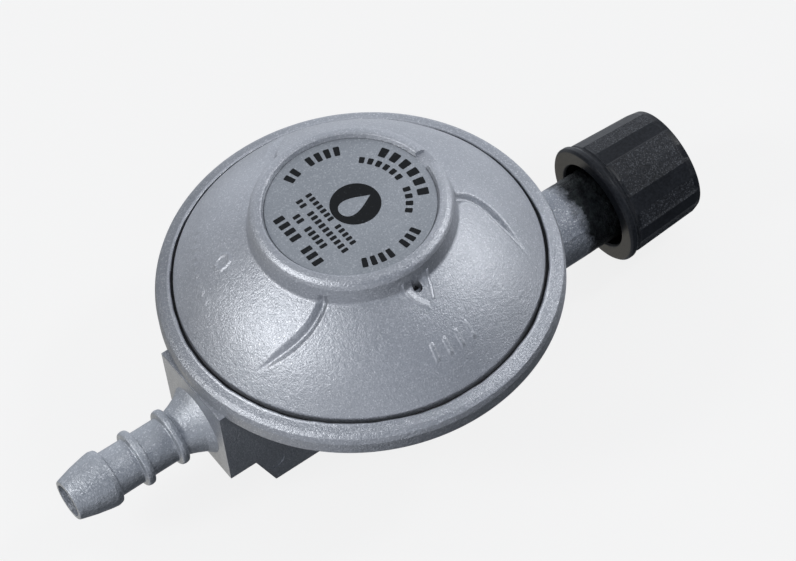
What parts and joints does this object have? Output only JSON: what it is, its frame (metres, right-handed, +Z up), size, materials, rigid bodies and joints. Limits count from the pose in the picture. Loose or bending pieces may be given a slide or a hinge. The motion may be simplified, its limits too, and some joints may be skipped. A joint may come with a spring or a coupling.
{
  "type": "gas pressure regulator",
  "caption": "Low-pressure gas regulator: round diaphragm housing with a hose nozzle on one side and a black hand-tightened cylinder nut on the other.",
  "frame": {"origin": "on the diaphragm housing's axis, in the plane of the flat underside of the valve block", "axes": "+Z up along the housing's axis, +X towards the cylinder nut, -X towards the hose nozzle"},
  "size_m": [0.1504, 0.0826, 0.0617],
  "materials": {
    "cast_alloy": "satin blasted die-cast alloy with a fine sparkle",
    "black_plastic": "moulded black plastic, satin",
    "rubber": "matt rubber",
    "brass": "turned brass",
    "steel": "bright zinc-plated steel"
  },
  "bodies": {
    "housing": {"body_casting": "cast_alloy", "cover_casting": "cast_alloy", "seal_disc": "cast_alloy", "main_spring": "steel", "lever_pin": "steel", "lever_bracket": "steel", "bracket_screws": "steel", "orifice_seat": "brass", "inlet_nipple": "brass", "sealing_washer": "rubber", "inlet_filter": "brass", "excess_flow_seat": "brass", "excess_flow_spring": "steel", "retaining_ring": "steel"},
    "diaphragm_group": {"diaphragm": "rubber", "diaphragm_plate": "steel", "diaphragm_stem": "brass", "stem_clip": "steel"},
    "lever_arm": {"lever": "steel"},
    "valve": {"valve_slide": "brass", "valve_pad": "rubber"},
    "adjuster": {"adjusting_screw": "black_plastic"},
    "bobbin": {"excess_flow_bobbin": "black_plastic"},
    "hand_nut": {"handwheel": "black_plastic", "nut_insert": "brass"}
  },
  "joints": [
    {"name": "nut_spin", "type": "hinge", "parent": "housing", "child": "hand_nut", "pos_m": [0.07, 0, 0.0074], "axis": [1, 0, 0], "continuous": true},
    {"name": "diaphragm_lift", "type": "slide", "parent": "housing", "child": "diaphragm_group", "axis": [0, 0, 1], "range_m": [0, 0.0024], "stiffness_N_per_m": 700, "deforming": ["main_spring", "diaphragm"]},
    {"name": "lever_turn", "type": "hinge", "parent": "housing", "child": "lever_arm", "pos_m": [-0.022, 0, 0.02], "axis": [0, 1, 0], "range_deg": [-6.3, 0]},
    {"name": "valve_shift", "type": "slide", "parent": "housing", "child": "valve", "axis": [1, 0, 0], "range_m": [0, 0.0014]},
    {"name": "adjuster_turn", "type": "hinge", "parent": "housing", "child": "adjuster", "pos_m": [0, 0, 0.0496], "axis": [0, 0, 1], "range_deg": [-180, 180]},
    {"name": "bobbin_shift", "type": "slide", "parent": "housing", "child": "bobbin", "axis": [-1, 0, 0], "range_m": [0, 0.0024], "stiffness_N_per_m": 20, "deforming": ["excess_flow_spring"]}
  ],
  "couplings": [
    {"joint": "lever_turn", "follows": "diaphragm_lift", "rad_per_m": -45.455},
    {"joint": "valve_shift", "follows": "diaphragm_lift", "ratio": 0.5727}
  ]
}
